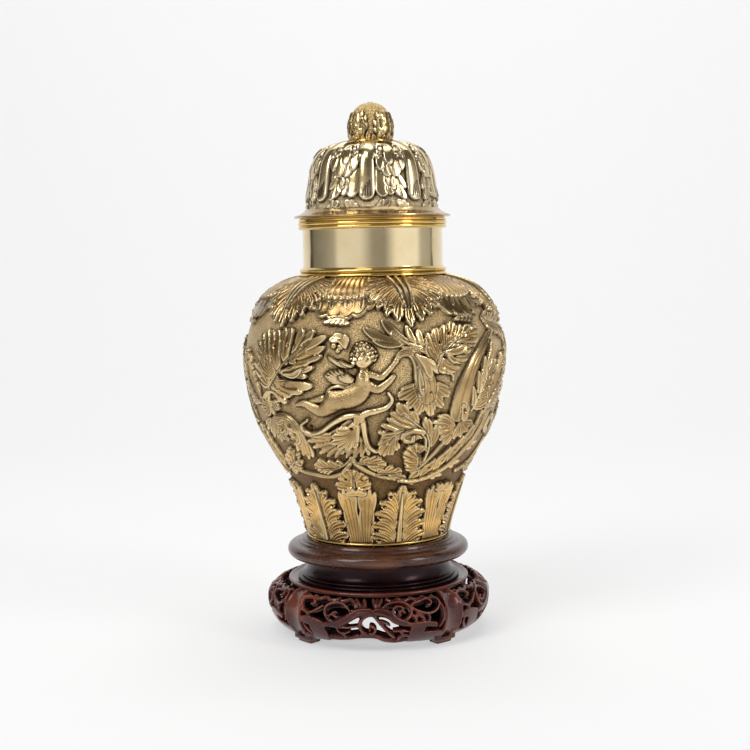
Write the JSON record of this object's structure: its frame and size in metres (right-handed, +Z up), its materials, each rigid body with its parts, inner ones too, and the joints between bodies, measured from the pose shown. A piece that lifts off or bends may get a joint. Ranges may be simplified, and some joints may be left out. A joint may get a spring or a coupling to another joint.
{
  "type": "ginger jar",
  "caption": "Silver-gilt ginger jar chased with acanthus, flowers and flying putti, with a domed lid and bud finial, on a pierced and carved hardwood stand.",
  "frame": {"origin": "centre of the stand's four feet on the surface it stands on", "axes": "+Z up along the jar's axis, the stand's front panel towards -Y"},
  "size_m": [0.1996, 0.2068, 0.3976],
  "materials": {
    "jar_gilt": "silver-gilt: bright gold on the raised chasing, brown in the crevices, matted ground, polished neck",
    "neck_gilt": "silver-gilt, polished plain, with fine turning lines",
    "lid_gilt": "silver-gilt, chased and punched, polished flange",
    "finial_gilt": "silver-gilt, smooth leaves over a punched ground",
    "stand_top_wood": "turned brown hardwood with open grain, waxed",
    "stand_waist_wood": "turned dark red-brown hardwood, polished to a gloss",
    "stand_base_wood": "carved and pierced red-brown hardwood, worn lighter on the high places"
  },
  "bodies": {
    "root": {"jar_body": "jar_gilt", "jar_neck": "neck_gilt", "lid": "lid_gilt", "lid_finial": "finial_gilt", "stand_top": "stand_top_wood", "stand_waist": "stand_waist_wood", "stand_base": "stand_base_wood"}
  },
  "joints": []
}
